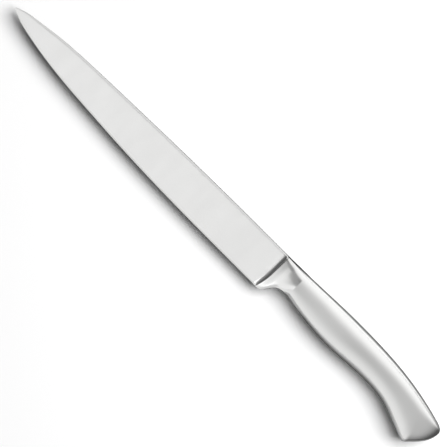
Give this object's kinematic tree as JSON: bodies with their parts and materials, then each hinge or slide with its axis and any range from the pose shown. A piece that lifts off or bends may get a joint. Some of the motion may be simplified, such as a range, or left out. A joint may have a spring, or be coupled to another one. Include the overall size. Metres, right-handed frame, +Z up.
{
  "type": "fillet knife",
  "caption": "Kitchen knife all in stainless steel: a slim forged blade with a bolster and finger notch, and a smooth hollow handle that ends in a down-turned butt.",
  "frame": {"origin": "middle of the knife's box at the level it lies on, with the knife on its flank and the blade's middle plane level", "axes": "+X along the knife from tip to butt, +Y from cutting edge to spine, +Z up out of the left flank"},
  "size_m": [0.3428, 0.0302, 0.0172],
  "materials": {
    "satin_blade_steel": "satin ground flanks, polished bolster",
    "polished_handle_steel": "fine satin polish",
    "cast_resin": "as cast, matt",
    "turned_weight_steel": "as turned"
  },
  "bodies": {
    "root": {"blade_forging": "satin_blade_steel", "handle_shell_left": "polished_handle_steel", "handle_shell_right": "polished_handle_steel", "handle_filler": "cast_resin", "balance_weight": "turned_weight_steel"}
  },
  "joints": []
}
